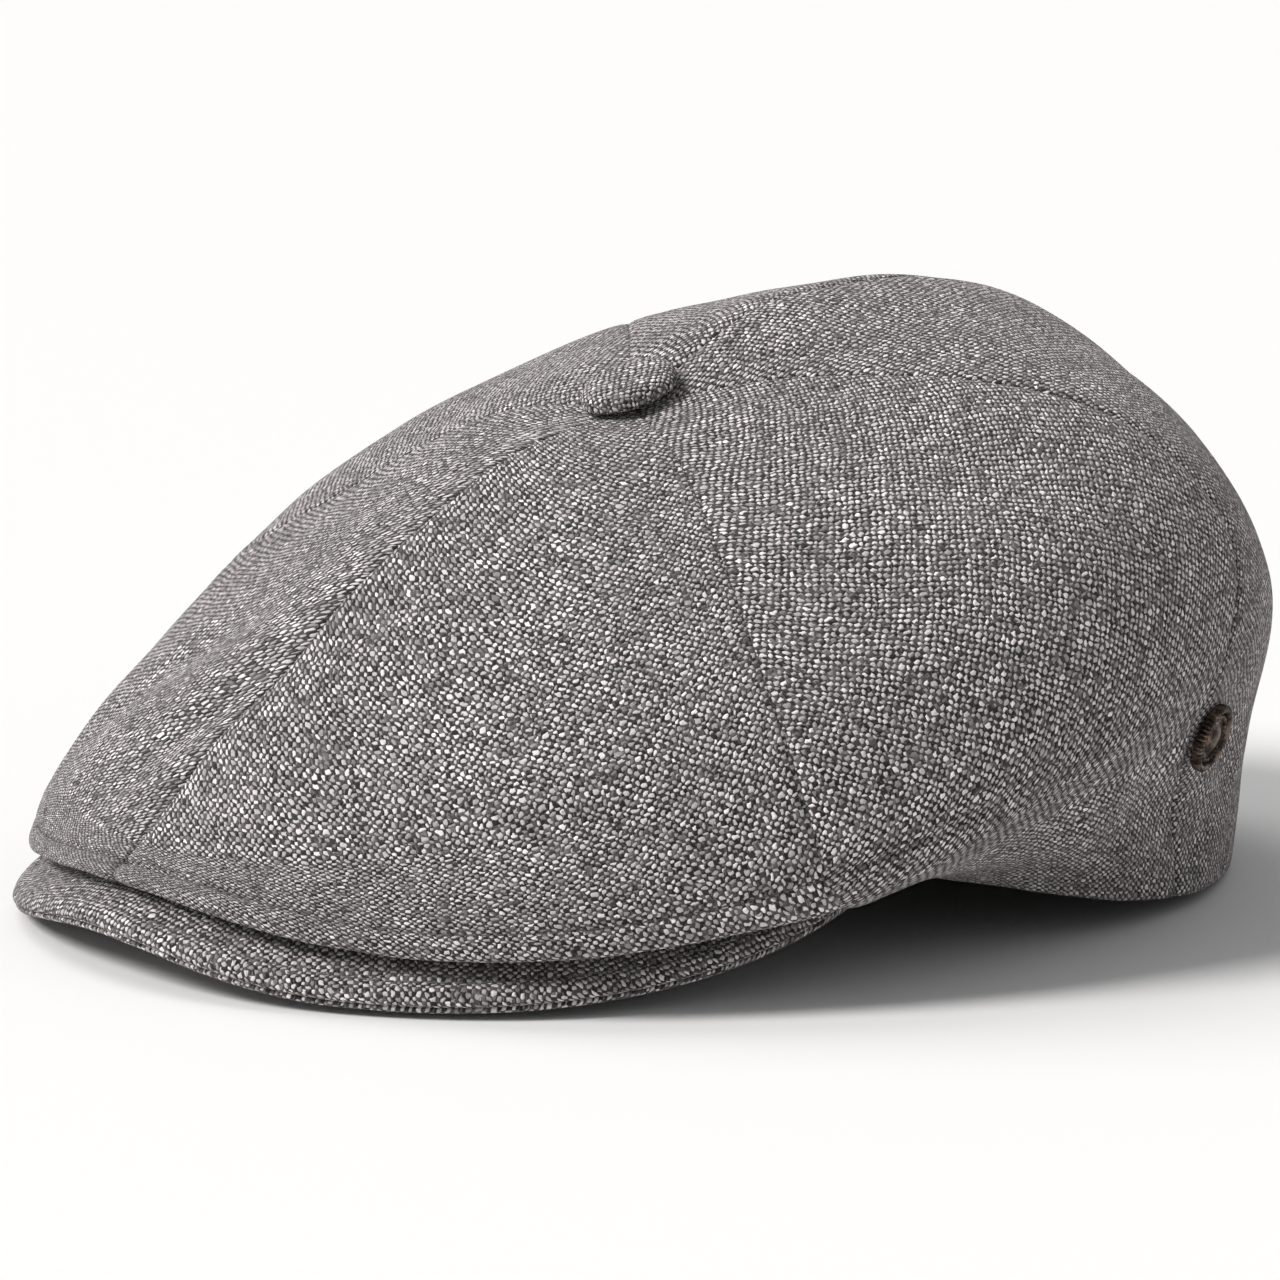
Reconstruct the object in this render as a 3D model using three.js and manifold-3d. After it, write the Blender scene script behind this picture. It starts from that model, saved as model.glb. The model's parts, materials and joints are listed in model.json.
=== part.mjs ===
// Six-panel newsboy cap with a cloth-covered visor, crown button, side badge, lining and sweatband.
// Millimetres, +Z up. The front of the cap points along -Y and the wearer's left is +X.
// The origin is the middle of the head opening, on the surface that the cap stands on.
import * as THREE from "three";
import { mergeVertices } from "three/addons/utils/BufferGeometryUtils.js";
import Module from "manifold-3d";

// ---- driving dimensions ----
const openingHalfWidth = 94.5; // outside of the cloth at the hem
const openingHalfLength = 91;
const openingPull = 0.03; // how much longer than an ellipse the opening is, front and rear
const hemLift = 37; // the hem rises this much from the rear to the front
const crownHeight = 96; // height of the crown where the button sits
const crownForward = 9.5; // the crown's middle lies this far in front of the opening's middle
const buttonForward = 34.5; // and the button this far
const buttonTilt = 22; // degrees, forward lean of the crown under the button
const clothThickness = 1.6;
const liningThickness = 0.7;
const tapeThickness = 0.6;
const tapeHeight = 11;
const bandThickness = 1.2;
const bandHeight = 26;
const fitGap = 0.3; // between pieces that touch
const seamGap = 0.4; // between gores sewn together
const visorLength = 68;
const visorHalfAngle = 62; // degrees, where the visor's outline meets the hem
const visorEnd = 60; // degrees, where its blunt end is
const visorClothThickness = 1.1;
const boardThickness = 1.8;
const buttonRadius = 10;
const buttonHeight = 4.2;
const shankRadius = 1.6;
const badgeRadius = 6.8;
const badgeHeight = 3;
const badgePostRadius = 1;
const badgeWasherRadius = 3.5;
const badgeWasherThickness = 0.4;
const badgeHeightOnCap = 39; // height of the badge's middle above the resting surface
const badgeAngle = 105.5; // degrees round from the front
const labelWidth = 16;
const labelHeight = 12;

// Crown outline at every 30 degrees from the front (0) round to the rear (180).
const bulgeOverhang = [56, 46, 29, 19.5, 13.9, 12.6, 16]; // how far the widest point reaches past the opening
const bulgeHeight = [0.177, 0.115, 0.208, 0.443, 0.64, 0.661, 0.641]; // its height over crownHeight
const shoulderShare = [0.9, 0.89, 0.87, 0.86, 0.84, 0.79, 0.77]; // shoulder radius over the widest
const shoulderHeight = [0.25, 0.292, 0.52, 0.795, 0.99, 1.055, 1.11]; // over crownHeight
const topShare = 0.28;
const topRise = [-10, -9.5, -6, 0.5, 6, 12.5, 16]; // height of the top ring over the button's seat
const visorEdgeHeight = [11.3, 4.9, 7.2]; // top of the visor's rim at 0, 1/3 and 2/3 of its half angle

const wasm = await Module();
wasm.setup();
const rad = THREE.MathUtils.degToRad;

// ---- curves ----
function catmull(p0, p1, p2, p3, f) {
  const a = 2 * p1;
  const b = (p2 - p0) * f;
  const c = (2 * p0 - 5 * p1 + 4 * p2 - p3) * f * f;
  const d = (3 * p1 - p0 - 3 * p2 + p3) * f * f * f;
  return (a + b + c + d) / 2;
}

// A value given at every 30 degrees, the same on both sides of the cap.
function around(values, theta) {
  const turn = Math.abs(Math.atan2(Math.sin(theta), Math.cos(theta))) / rad(30);
  const i = Math.min(Math.floor(turn), values.length - 2);
  const all = [values[1], ...values, values.at(-2)];
  return catmull(all[i], all[i + 1], all[i + 2], all[i + 3], turn - i);
}

// A smooth line through the keys. Its slope at each key allows for how far the neighbours are, and has a
// least length, so that it rounds the folds of the cloth and doesn't pinch there.
const foldRoundness = 1.1;
function splinePoint(keys, t) {
  const i = Math.min(Math.floor(t), keys.length - 4);
  const f = t - i;
  const [a, b, c, d] = keys.slice(i, i + 4);
  const [ab, bc, cd] = [a.distanceTo(b), b.distanceTo(c), c.distanceTo(d)].map(Math.sqrt);
  const slope = (p, q, r, first, second) => {
    const toNext = r.clone().sub(q).divideScalar(second);
    const fromLast = q.clone().sub(p).divideScalar(first);
    const over = r.clone().sub(p).divideScalar(first + second);
    const whole = toNext.add(fromLast).sub(over);
    const least = foldRoundness * Math.min(first, second);
    return whole.setLength(Math.max(whole.length(), least)).multiplyScalar(bc);
  };
  const start = slope(a, b, c, ab, bc);
  const end = slope(b, c, d, bc, cd);
  const out = b.clone().multiplyScalar((1 + 2 * f) * (1 - f) ** 2);
  out.addScaledVector(start, f * (1 - f) ** 2);
  out.addScaledVector(c, f * f * (3 - 2 * f));
  return out.addScaledVector(end, f * f * (f - 1));
}

const outwards = (theta) => {
  const x = Math.sin(theta) / openingHalfWidth;
  const y = -Math.cos(theta) / openingHalfLength;
  return new THREE.Vector3(x, y, 0).normalize();
};

// A point of the hem, moved inwards by depth and up by rise.
function hemPoint(theta, depth = 0, rise = 0) {
  const c = Math.cos(theta);
  const x = openingHalfWidth * Math.sin(theta);
  const y = -openingHalfLength * c * (1 + openingPull * c * c);
  const z = hemLift * ((1 + c) / 2) ** 2.2;
  return new THREE.Vector3(x, y, z + rise).addScaledVector(outwards(theta), -depth);
}

// ---- the crown's surface ----
const buttonAxis = new THREE.Vector3(0, -Math.sin(rad(buttonTilt)), Math.cos(rad(buttonTilt)));
const buttonSeat = new THREE.Vector3(0, -buttonForward, crownHeight);
const ringPoint = (radius, theta, forward, z) =>
  new THREE.Vector3(radius * Math.sin(theta), -radius * Math.cos(theta) - forward, z);

// The five points that a crown meridian passes through between the hem and the button.
function meridianKeys(theta) {
  const reach = Math.hypot(openingHalfWidth * Math.sin(theta), openingHalfLength * Math.cos(theta));
  const widest = reach + around(bulgeOverhang, theta);
  const lean = buttonForward - crownForward;
  const hem = hemPoint(theta);
  const bulge = ringPoint(widest, theta, crownForward, crownHeight * around(bulgeHeight, theta));
  const frontness = ((1 + Math.cos(theta)) / 2) ** 1.5;
  const under = hem.clone().lerp(bulge, 0.6 + 0.25 * frontness);
  under.z = hem.z + (bulge.z - hem.z) * (0.45 + 0.45 * frontness);
  const shoulderRadius = widest * around(shoulderShare, theta);
  const shoulderForward = crownForward + 0.39 * lean;
  const shoulderZ = crownHeight * around(shoulderHeight, theta);
  const shoulder = ringPoint(shoulderRadius, theta, shoulderForward, shoulderZ);
  const topZ = crownHeight + around(topRise, theta);
  const top = ringPoint(widest * topShare, theta, crownForward + 0.81 * lean, topZ);
  return [hem, under, bulge, shoulder, top];
}

// t runs from 0 at the hem through 2 at the widest point to 5 at the edge of the shank's hole.
function crownLine(theta, t) {
  if (t >= 5) {
    const hole = shankRadius + fitGap;
    const across = new THREE.Vector3(hole * Math.sin(theta), -hole * Math.cos(theta), 0);
    across.applyAxisAngle(new THREE.Vector3(1, 0, 0), rad(buttonTilt));
    return across.add(buttonSeat);
  }
  const keys = meridianKeys(theta);
  const before = keys[0].clone().multiplyScalar(2).sub(keys[1]);
  return splinePoint([before, ...keys, buttonSeat, meridianKeys(theta + Math.PI).at(-1)], t);
}

// A point of a surface given by its meridians, moved inwards square to the surface by depth.
function inwards(line, theta, t, depth) {
  const step = 0.02;
  const here = line(theta, t);
  if (depth === 0) return here;
  if (t >= 5) return here.addScaledVector(buttonAxis, -depth);
  const along = line(theta, t + step).sub(line(theta, Math.max(t - step, 0)));
  const sideways = line(theta + step, t).sub(line(theta - step, t));
  return here.addScaledVector(sideways.cross(along).normalize(), -depth);
}
const crownPoint = (theta, t, depth = 0) => inwards(crownLine, theta, t, depth);

// ---- closed solids from two grids of points ----
function closedGrid(outer, inner, ring = false) {
  const rows = outer.length;
  const columns = outer[0].length;
  const points = [];
  for (const grid of [outer, inner]) for (const row of grid) for (const p of row) points.push(p.x, p.y, p.z);
  const at = (layer, r, c) => layer * rows * columns + r * columns + (c % columns);
  const index = [];
  const quad = (a, b, c, d) => index.push(a, b, c, a, c, d);
  const spans = ring ? columns : columns - 1;
  for (let c = 0; c < spans; c++) {
    for (let r = 0; r < rows - 1; r++) {
      quad(at(0, r, c), at(0, r, c + 1), at(0, r + 1, c + 1), at(0, r + 1, c));
      quad(at(1, r, c), at(1, r + 1, c), at(1, r + 1, c + 1), at(1, r, c + 1));
    }
    quad(at(1, 0, c), at(1, 0, c + 1), at(0, 0, c + 1), at(0, 0, c));
    quad(at(0, rows - 1, c), at(0, rows - 1, c + 1), at(1, rows - 1, c + 1), at(1, rows - 1, c));
  }
  for (let r = 0; r < rows - 1 && !ring; r++) {
    quad(at(1, r, 0), at(0, r, 0), at(0, r + 1, 0), at(1, r + 1, 0));
    const last = columns - 1;
    quad(at(0, r, last), at(1, r, last), at(1, r + 1, last), at(0, r + 1, last));
  }
  const geometry = new THREE.BufferGeometry();
  geometry.setAttribute("position", new THREE.Float32BufferAttribute(points, 3));
  geometry.setIndex(index);
  return geometry;
}

function solidOf(geometry) {
  const bare = geometry.index ? geometry.toNonIndexed() : geometry.clone();
  bare.deleteAttribute("normal");
  bare.deleteAttribute("uv");
  const merged = mergeVertices(bare, 1e-4);
  const vertProperties = new Float32Array(merged.attributes.position.array);
  return new wasm.Manifold(new wasm.Mesh({ numProp: 3, vertProperties, triVerts: new Uint32Array(merged.index.array) }));
}

function geometryOf(solid) {
  const mesh = solid.getMesh();
  const geometry = new THREE.BufferGeometry();
  geometry.setAttribute("position", new THREE.BufferAttribute(new Float32Array(mesh.vertProperties), 3));
  geometry.setIndex(new THREE.BufferAttribute(new Uint32Array(mesh.triVerts), 1));
  return geometry;
}

// ---- materials ----
const tweed = () => new THREE.MeshStandardMaterial({ color: 0x807a7a, roughness: 0.95, metalness: 0 });
const satin = () => new THREE.MeshStandardMaterial({ color: 0x2b2a2d, roughness: 0.4, metalness: 0 });
const webbing = () => new THREE.MeshStandardMaterial({ color: 0x17171a, roughness: 0.85, metalness: 0 });
const bronze = () => new THREE.MeshStandardMaterial({ color: 0x4a3a2c, roughness: 0.45, metalness: 0.9 });
const board = () => new THREE.MeshStandardMaterial({ color: 0x222222, roughness: 0.6, metalness: 0 });
const steel = () => new THREE.MeshStandardMaterial({ color: 0x9a9a9a, roughness: 0.4, metalness: 0.9 });

const cap = new THREE.Group();
function add(name, geometry, material, parent = cap) {
  const mesh = new THREE.Mesh(geometry, material);
  mesh.name = name;
  parent.add(mesh);
  return mesh;
}

// ---- crown panels ----
// Seams run from the hem to the button. The rear side seams swing forward below the widest point.
function seamAngle(nominal, t) {
  if (Math.abs(nominal) !== 120) return nominal;
  const low = 11.5 + (6.5 * Math.min(t, 1.5)) / 1.5;
  const swing = low * THREE.MathUtils.smoothstep(2.5 - t, 0, 1);
  return nominal - Math.sign(nominal) * swing;
}

const crownRows = [0, 0.25, 0.5, 1, 1.4, 1.7, 1.88, 2, 2.15, 2.35, 2.65, 3, 3.4, 3.8, 4.2, 4.6, 4.8, 5];
const badgeMiddle = (() => {
  let low = 0;
  let high = 2;
  for (let i = 0; i < 40; i++) {
    const middle = (low + high) / 2;
    if (crownPoint(rad(badgeAngle), middle).z < badgeHeightOnCap) low = middle;
    else high = middle;
  }
  return low;
})();

// The badge stands square to the cloth: its frame has +Z along the cloth's outward normal.
function badgeFrame() {
  const theta = rad(badgeAngle);
  const here = crownPoint(theta, badgeMiddle);
  const along = crownPoint(theta, badgeMiddle + 0.05).sub(here);
  const sideways = crownPoint(theta + 0.02, badgeMiddle).sub(here);
  const normal = new THREE.Vector3().crossVectors(sideways, along).normalize();
  const frame = new THREE.Group();
  frame.position.copy(here);
  frame.quaternion.setFromUnitVectors(new THREE.Vector3(0, 0, 1), normal);
  cap.add(frame);
  frame.updateMatrixWorld(true);
  return frame;
}
const badge = badgeFrame();

// Angles across a gore at one height, from seam to seam, less half the seam's gap at each side.
function acrossGore(line, start, end, columns, t) {
  const middle = line((start + end) / 2, t);
  const radius = Math.hypot(middle.x, middle.y + buttonForward);
  const inset = seamGap / 2 / Math.max(radius, shankRadius);
  const angles = [];
  for (let c = 0; c <= columns; c++) {
    angles.push(start + inset + ((end - start - 2 * inset) * c) / columns);
  }
  return angles;
}

function panelGrid(from, to, columns, depth) {
  return crownRows.map((t) => {
    const angles = acrossGore(crownLine, rad(seamAngle(from, t)), rad(seamAngle(to, t)), columns, t);
    return angles.map((theta) => crownPoint(theta, t, depth));
  });
}

// The badge's post goes through the panel it stands on.
function crownPanel(name, from, to) {
  const shell = closedGrid(panelGrid(from, to, 10, 0), panelGrid(from, to, 10, clothThickness));
  const start = seamAngle(from, badgeMiddle);
  const end = seamAngle(to, badgeMiddle);
  if (badgeAngle < start || badgeAngle > end) return add(name, shell, tweed());
  const hole = badgePostRadius + fitGap;
  const post = new THREE.CylinderGeometry(hole, hole, 12, 16);
  post.rotateX(Math.PI / 2);
  post.applyMatrix4(badge.matrixWorld);
  return add(name, geometryOf(solidOf(shell).subtract(solidOf(post))), tweed());
}

const panelNames = ["rear_right", "side_right", "front_right", "front_left", "side_left", "rear_left"];
panelNames.forEach((name, i) => crownPanel("crown_panel_" + name, -180 + 60 * i, -120 + 60 * i));

// ---- layers inside the crown: stay tape at the hem, then the lining all over ----
const tapeSlack = 0.9; // the tape is straight across where the cloth bows, so it lies this much looser
const tapeDepth = clothThickness + fitGap + tapeSlack;
const liningDepth = tapeDepth + tapeThickness + fitGap;
const hemStart = 0.06;
const liningSlack = 2.6; // the lining is cut this much smaller than the crown at the top
const liningRise = 5; // the sewn edge of the lining is this far above the hem
const liningRows = [0, 0.5, 1, 1.5, 1.8, 2, 2.2, 2.6, 3, 3.5, 4, 4.5, 4.8, 5];

// The lining spans the crown's folds, so each key is drawn in towards the middle of the crown's section.
// It's drawn in furthest at the front, where the crown folds down over the visor. The shares are
// for each millimetre of the lining's depth.
function liningKeys(theta) {
  const [hem, under, bulge, shoulder, top] = meridianKeys(theta);
  const middle = hem.clone().add(bulge).add(top).divideScalar(3);
  const frontness = ((1 + Math.cos(theta)) / 2) ** 1.5;
  const drawnIn = (key, rear, front) =>
    key.clone().lerp(middle, liningDepth * (rear + (front - rear) * frontness));
  return [
    hemPoint(theta, liningDepth, liningRise),
    drawnIn(under, 0.027, 0.165),
    drawnIn(bulge, 0.041, 0.104),
    drawnIn(shoulder.lerp(top, 0.15 * frontness), 0.038, 0.081),
    crownPoint(theta, 4, liningDepth + liningSlack),
  ];
}

function liningLine(theta, t) {
  const seat = buttonSeat.clone().addScaledVector(buttonAxis, -liningDepth - liningSlack);
  if (t >= 5) return seat.add(crownPoint(theta, 5).sub(buttonSeat));
  const keys = liningKeys(theta);
  const before = keys[0].clone().multiplyScalar(2).sub(keys[1]);
  return splinePoint([before, ...keys, seat, liningKeys(theta + Math.PI).at(-1)], t);
}

const liningPoint = (theta, t, depth) => inwards(liningLine, theta, t, depth);

function liningPanel(name, from, to) {
  const columns = 6;
  const grid = (depth) =>
    liningRows.map((t) => {
      const angles = acrossGore(liningLine, rad(from), rad(to), columns, t);
      return angles.map((theta) => liningPoint(theta, t, depth));
    });
  add(name, closedGrid(grid(0), grid(liningThickness)), satin());
}
panelNames.forEach((name, i) => liningPanel("lining_panel_" + name, -180 + 60 * i, -120 + 60 * i));

// The tape is a flat ribbon against the cloth, so its top edge is tapeHeight up the crown from the hem.
function stayTape(columns = 60) {
  const grid = (depth) =>
    [0, 0.5, 1].map((up) => {
      const row = [];
      for (let c = 0; c < columns; c++) {
        const theta = (c / columns) * 2 * Math.PI;
        const low = crownPoint(theta, hemStart);
        const slope = crownPoint(theta, hemStart + 0.1).distanceTo(low) / 0.1;
        row.push(crownPoint(theta, hemStart + (up * tapeHeight) / slope, depth));
      }
      return row;
    });
  add("stay_tape", closedGrid(grid(tapeDepth), grid(tapeDepth + tapeThickness), true), webbing());
}
stayTape();

// ---- sweatband: an upright ring round the opening, sewn along its lower edge ----
function ringSolid(depth, thickness, low, high, columns = 48) {
  const grid = (extra) =>
    [low, high].map((rise) => {
      const row = [];
      for (let c = 0; c < columns; c++) row.push(hemPoint((c / columns) * 2 * Math.PI, depth + extra, rise));
      return row;
    });
  return closedGrid(grid(0), grid(thickness), true);
}
const bandSlack = 0.6; // the band is an upright ring, so it stands this much clear of the lining
const bandDepth = liningDepth + liningThickness + fitGap + bandSlack;
const bandRise = 1;
add("sweatband", ringSolid(bandDepth, bandThickness, bandRise, bandRise + bandHeight), webbing());

// The label lies flat against the inside of the sweatband at the rear.
function insideLabel() {
  const half = labelWidth / 2;
  const depth = bandDepth + bandThickness + fitGap;
  const columns = 4;
  const grid = (extra) =>
    [bandHeight - labelHeight - 2, bandHeight - 2].map((rise) => {
      const row = [];
      for (let c = 0; c <= columns; c++) {
        const across = half - (labelWidth * c) / columns;
        row.push(hemPoint(Math.PI - across / openingHalfWidth, depth + extra, rise));
      }
      return row;
    });
  add("inside_label", closedGrid(grid(0), grid(0.4)), satin());
}
insideLabel();

// ---- visor ----
const visorSeamDrop = 0.9; // the visor's inner edge lies this far under the crown's hem
const visorAngle = (u) => rad(visorEnd) * (2 * u - 1);

function visorWidth(phi) {
  const share = Math.abs(phi) / rad(visorHalfAngle);
  return visorLength * (1 - share * share) ** 0.9;
}

function visorEdgeZ(phi) {
  const values = [...visorEdgeHeight, hemPoint(rad(visorHalfAngle)).z];
  const turn = (Math.abs(phi) / rad(visorHalfAngle)) * 3;
  const i = Math.min(Math.floor(turn), 2);
  const all = [values[1], ...values, 2 * values[3] - values[2]];
  return catmull(all[i], all[i + 1], all[i + 2], all[i + 3], turn - i);
}

// A point of the visor's top surface at a distance out from the hem, lowered by drop.
function visorPoint(phi, out, drop) {
  const share = out / visorWidth(phi);
  const p = hemPoint(phi, -out);
  p.z = (p.z - visorSeamDrop) * (1 - share) + visorEdgeZ(phi) * share - drop;
  return p;
}

// One layer of the visor. Each row is [distance out from the hem, drop of its top, drop of its bottom].
function visorLayer(name, material, rows, endMargin) {
  const columns = 22;
  const grid = (face) =>
    rows.map((row) => {
      const line = [];
      for (let c = 0; c <= columns; c++) {
        const phi = visorAngle(c / columns);
        line.push(visorPoint(phi, row[0](visorWidth(phi)), row[face]));
      }
      for (const [end, next] of [[0, 1], [columns, columns - 1]]) {
        line[end].lerp(line[next], endMargin / line[end].distanceTo(line[next]));
      }
      return line;
    });
  add(name, closedGrid(grid(2), grid(1)), material);
}

const visorLip = 2.4; // how far the covers reach past the board, where they are sewn together
const boardTop = visorClothThickness + fitGap;
const boardBottom = boardTop + boardThickness;
const visorBottom = boardBottom + fitGap + visorClothThickness;
const visorSeamTop = (visorBottom - fitGap) / 2;
const innerEdge = 0.5;
const spread = (share, margin) => (w) => innerEdge + (w - margin - innerEdge) * share;
const flatRows = (margin, top, bottom) => [0, 0.25, 0.5, 0.75, 1].map((s) => [spread(s, margin), top, bottom]);

function visorPieces() {
  const roundOff = 0.8;
  const topRows = flatRows(visorLip, 0, visorClothThickness);
  topRows.push([(w) => w - visorLip * 0.6, 0.1, visorSeamTop], [(w) => w, roundOff, visorSeamTop]);
  visorLayer("visor_top_cover", tweed(), topRows, 0);
  visorLayer("visor_board", board(), flatRows(visorLip + fitGap, boardTop, boardBottom), 1.5);
  const seamBottom = visorSeamTop + fitGap;
  const underRows = flatRows(visorLip, boardBottom + fitGap, visorBottom);
  underRows.push([(w) => w - visorLip * 0.6, seamBottom, visorBottom - 0.1]);
  underRows.push([(w) => w, seamBottom, visorBottom - roundOff]);
  visorLayer("visor_under_cover", tweed(), underRows, 0);
}
visorPieces();

// ---- covered button, turned about the tilted axis of its seat ----
const lathe = (points, segments = 24) => {
  const geometry = new THREE.LatheGeometry(points.map(([r, z]) => new THREE.Vector2(r, z)), segments);
  return geometry.rotateX(Math.PI / 2);
};
const arcPoints = (radius, height, base, steps) => {
  const points = [];
  for (let i = 0; i <= steps; i++) {
    const a = ((i / steps) * Math.PI) / 2;
    points.push([radius * Math.cos(a) ** 0.7, base + height * Math.sin(a)]);
  }
  points.at(-1)[0] = 0;
  return points;
};
const button = new THREE.Group();
button.position.copy(buttonSeat);
button.rotation.x = rad(buttonTilt);
cap.add(button);

const buttonLift = 1.6; // the seat is a shallow dimple, so the button's edge clears the cloth
const buttonCloth = 0.9;
const shellRadius = buttonRadius - buttonCloth - fitGap;
const backRadius = shellRadius - 2;
const backThickness = 0.8;
function buttonPieces() {
  const rim = buttonLift + backThickness + fitGap;
  const outside = arcPoints(buttonRadius, buttonHeight - backThickness - fitGap, rim, 6);
  const hollow = arcPoints(buttonRadius - buttonCloth, buttonHeight - rim + buttonLift - buttonCloth, rim + fitGap, 6);
  const cover = [[buttonRadius - buttonCloth, rim], ...outside, ...hollow.reverse()];
  cover.push([buttonRadius - buttonCloth, rim]);
  add("button_cover", lathe(cover), tweed(), button);
  const shellHeight = buttonHeight - rim + buttonLift - buttonCloth - fitGap;
  const shell = [[0, rim], ...arcPoints(shellRadius, shellHeight, rim, 5)];
  add("button_shell", lathe(shell), steel(), button);
  const back = [[shankRadius + fitGap, buttonLift], [backRadius, buttonLift], [backRadius, rim - fitGap]];
  back.push([shankRadius + fitGap, rim - fitGap], [shankRadius + fitGap, buttonLift]);
  add("button_back", lathe(back), steel(), button);
  const foot = -liningDepth - liningSlack - liningThickness - 1;
  const shank = [[0, foot], [shankRadius, foot], [shankRadius, rim - fitGap], [0, rim - fitGap]];
  add("button_shank", lathe(shank, 12), webbing(), button);
}
buttonPieces();

// ---- badge: face in a milled rim, post through the cloth, washer behind it ----
function badgePieces() {
  const seatGap = 1; // the cloth is curved, so the flat back stands this far off at the middle
  const clothCurve = 0.8; // and the washer this far behind it
  const rimWidth = 1.2;
  const faceRadius = badgeRadius - rimWidth - fitGap;
  const teeth = 30;
  const outline = new THREE.Shape();
  for (let i = 0; i < teeth * 2; i++) {
    const r = badgeRadius - (i % 2) * 0.35;
    const a = (i / (teeth * 2)) * 2 * Math.PI;
    if (i === 0) outline.moveTo(r * Math.cos(a), r * Math.sin(a));
    else outline.lineTo(r * Math.cos(a), r * Math.sin(a));
  }
  outline.closePath();
  outline.holes.push(new THREE.Path().absarc(0, 0, faceRadius + fitGap, 0, 2 * Math.PI, true));
  const rim = new THREE.ExtrudeGeometry(outline, { depth: badgeHeight - seatGap, bevelEnabled: false, curveSegments: 12 });
  add("badge_rim", rim.translate(0, 0, seatGap), bronze(), badge);
  const dome = [[0, seatGap], [faceRadius, seatGap], [faceRadius, badgeHeight - 0.6]];
  dome.push([faceRadius * 0.7, badgeHeight - 0.1], [0, badgeHeight + 0.2]);
  add("badge_face", lathe(dome), bronze(), badge);
  const washerTop = -clothThickness - fitGap - clothCurve;
  const back = washerTop - badgeWasherThickness;
  const post = [[0, back], [badgePostRadius, back], [badgePostRadius, seatGap - fitGap], [0, seatGap - fitGap]];
  add("badge_post", lathe(post, 12), bronze(), badge);
  const hole = badgePostRadius + fitGap;
  const washer = [[hole, back], [badgeWasherRadius, back], [badgeWasherRadius, washerTop], [hole, washerTop]];
  washer.push([hole, back]);
  add("badge_washer", lathe(washer, 20), steel(), badge);
}
badgePieces();

export default cap;
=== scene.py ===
import json
import math

import bpy
import numpy as np
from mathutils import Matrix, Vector, noise


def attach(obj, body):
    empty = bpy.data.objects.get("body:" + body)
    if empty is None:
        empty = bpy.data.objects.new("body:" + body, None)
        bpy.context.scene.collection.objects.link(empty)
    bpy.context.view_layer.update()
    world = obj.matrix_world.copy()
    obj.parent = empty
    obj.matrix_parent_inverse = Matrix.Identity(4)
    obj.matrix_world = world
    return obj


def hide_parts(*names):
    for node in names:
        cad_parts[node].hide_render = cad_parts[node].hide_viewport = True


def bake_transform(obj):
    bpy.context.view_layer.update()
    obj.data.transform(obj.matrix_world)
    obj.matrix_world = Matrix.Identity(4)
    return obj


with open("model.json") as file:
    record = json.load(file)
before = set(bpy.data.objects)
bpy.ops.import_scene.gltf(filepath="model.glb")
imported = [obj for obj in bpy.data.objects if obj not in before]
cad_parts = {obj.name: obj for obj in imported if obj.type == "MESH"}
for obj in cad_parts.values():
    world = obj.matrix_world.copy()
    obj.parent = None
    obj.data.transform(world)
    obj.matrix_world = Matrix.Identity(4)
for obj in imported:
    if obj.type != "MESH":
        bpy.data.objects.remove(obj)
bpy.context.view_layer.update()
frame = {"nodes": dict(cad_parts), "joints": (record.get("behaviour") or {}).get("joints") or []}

# ---- Studio ----
# The cap stands on a wide pale table. A broad distant lamp lights it from high on the left, a weaker one from
# above and behind, a faint wide one from the right, and an even pale room. The lens is long.
azimuth, elevation, distance = math.radians(51.93), math.radians(10.44), 1.166
level = math.cos(elevation)
back = Vector((math.sin(azimuth) * level, -math.cos(azimuth) * level, math.sin(elevation)))
right = Vector((math.cos(azimuth), math.sin(azimuth), 0))
up = back.cross(right)
aim = Vector((0, -0.0305, 0.063)) - 0.00182 * right - 0.01485 * up

camera = bpy.data.objects.new("camera", bpy.data.cameras.new("camera"))
bpy.context.scene.collection.objects.link(camera)
camera.data.lens = 166.6
camera.data.sensor_width = 36
camera.location = aim + distance * back
camera.rotation_euler = back.to_track_quat("Z", "Y").to_euler()
bpy.context.scene.camera = camera
bpy.context.scene.view_settings.view_transform = "Standard"


def sunlamp(name, place, spread, strength, colour):
    light = bpy.data.lights.new(name, "SUN")
    light.angle = math.radians(spread)
    light.energy = strength
    light.color = colour
    holder = bpy.data.objects.new(name, light)
    bpy.context.scene.collection.objects.link(holder)
    holder.rotation_euler = place.to_track_quat("Z", "Y").to_euler()


def lamp(name, place, size, power, colour):
    light = bpy.data.lights.new(name, "AREA")
    light.size = size
    light.energy = power
    light.color = colour
    holder = bpy.data.objects.new(name, light)
    bpy.context.scene.collection.objects.link(holder)
    holder.location = aim + place
    holder.rotation_euler = place.to_track_quat("Z", "Y").to_euler()


sunlamp("key_lamp", -1.15 * right + 0.5 * back + 1.0 * up, 24, 2.75, (1.0, 0.985, 0.97))
sunlamp("top_lamp", -0.5 * right - 0.5 * back + 1.2 * up, 30, 0.8, (1.0, 0.99, 0.98))
lamp("fill_lamp", 1.1 * right + 0.9 * back + 0.3 * up, 1.2, 0.3, (0.97, 0.98, 1.0))

room = bpy.data.worlds.new("room")
room.use_nodes = True
room.node_tree.nodes["Background"].inputs["Color"].default_value = (1, 1, 1, 1)
room.node_tree.nodes["Background"].inputs["Strength"].default_value = 0.34
bpy.context.scene.world = room

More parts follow.
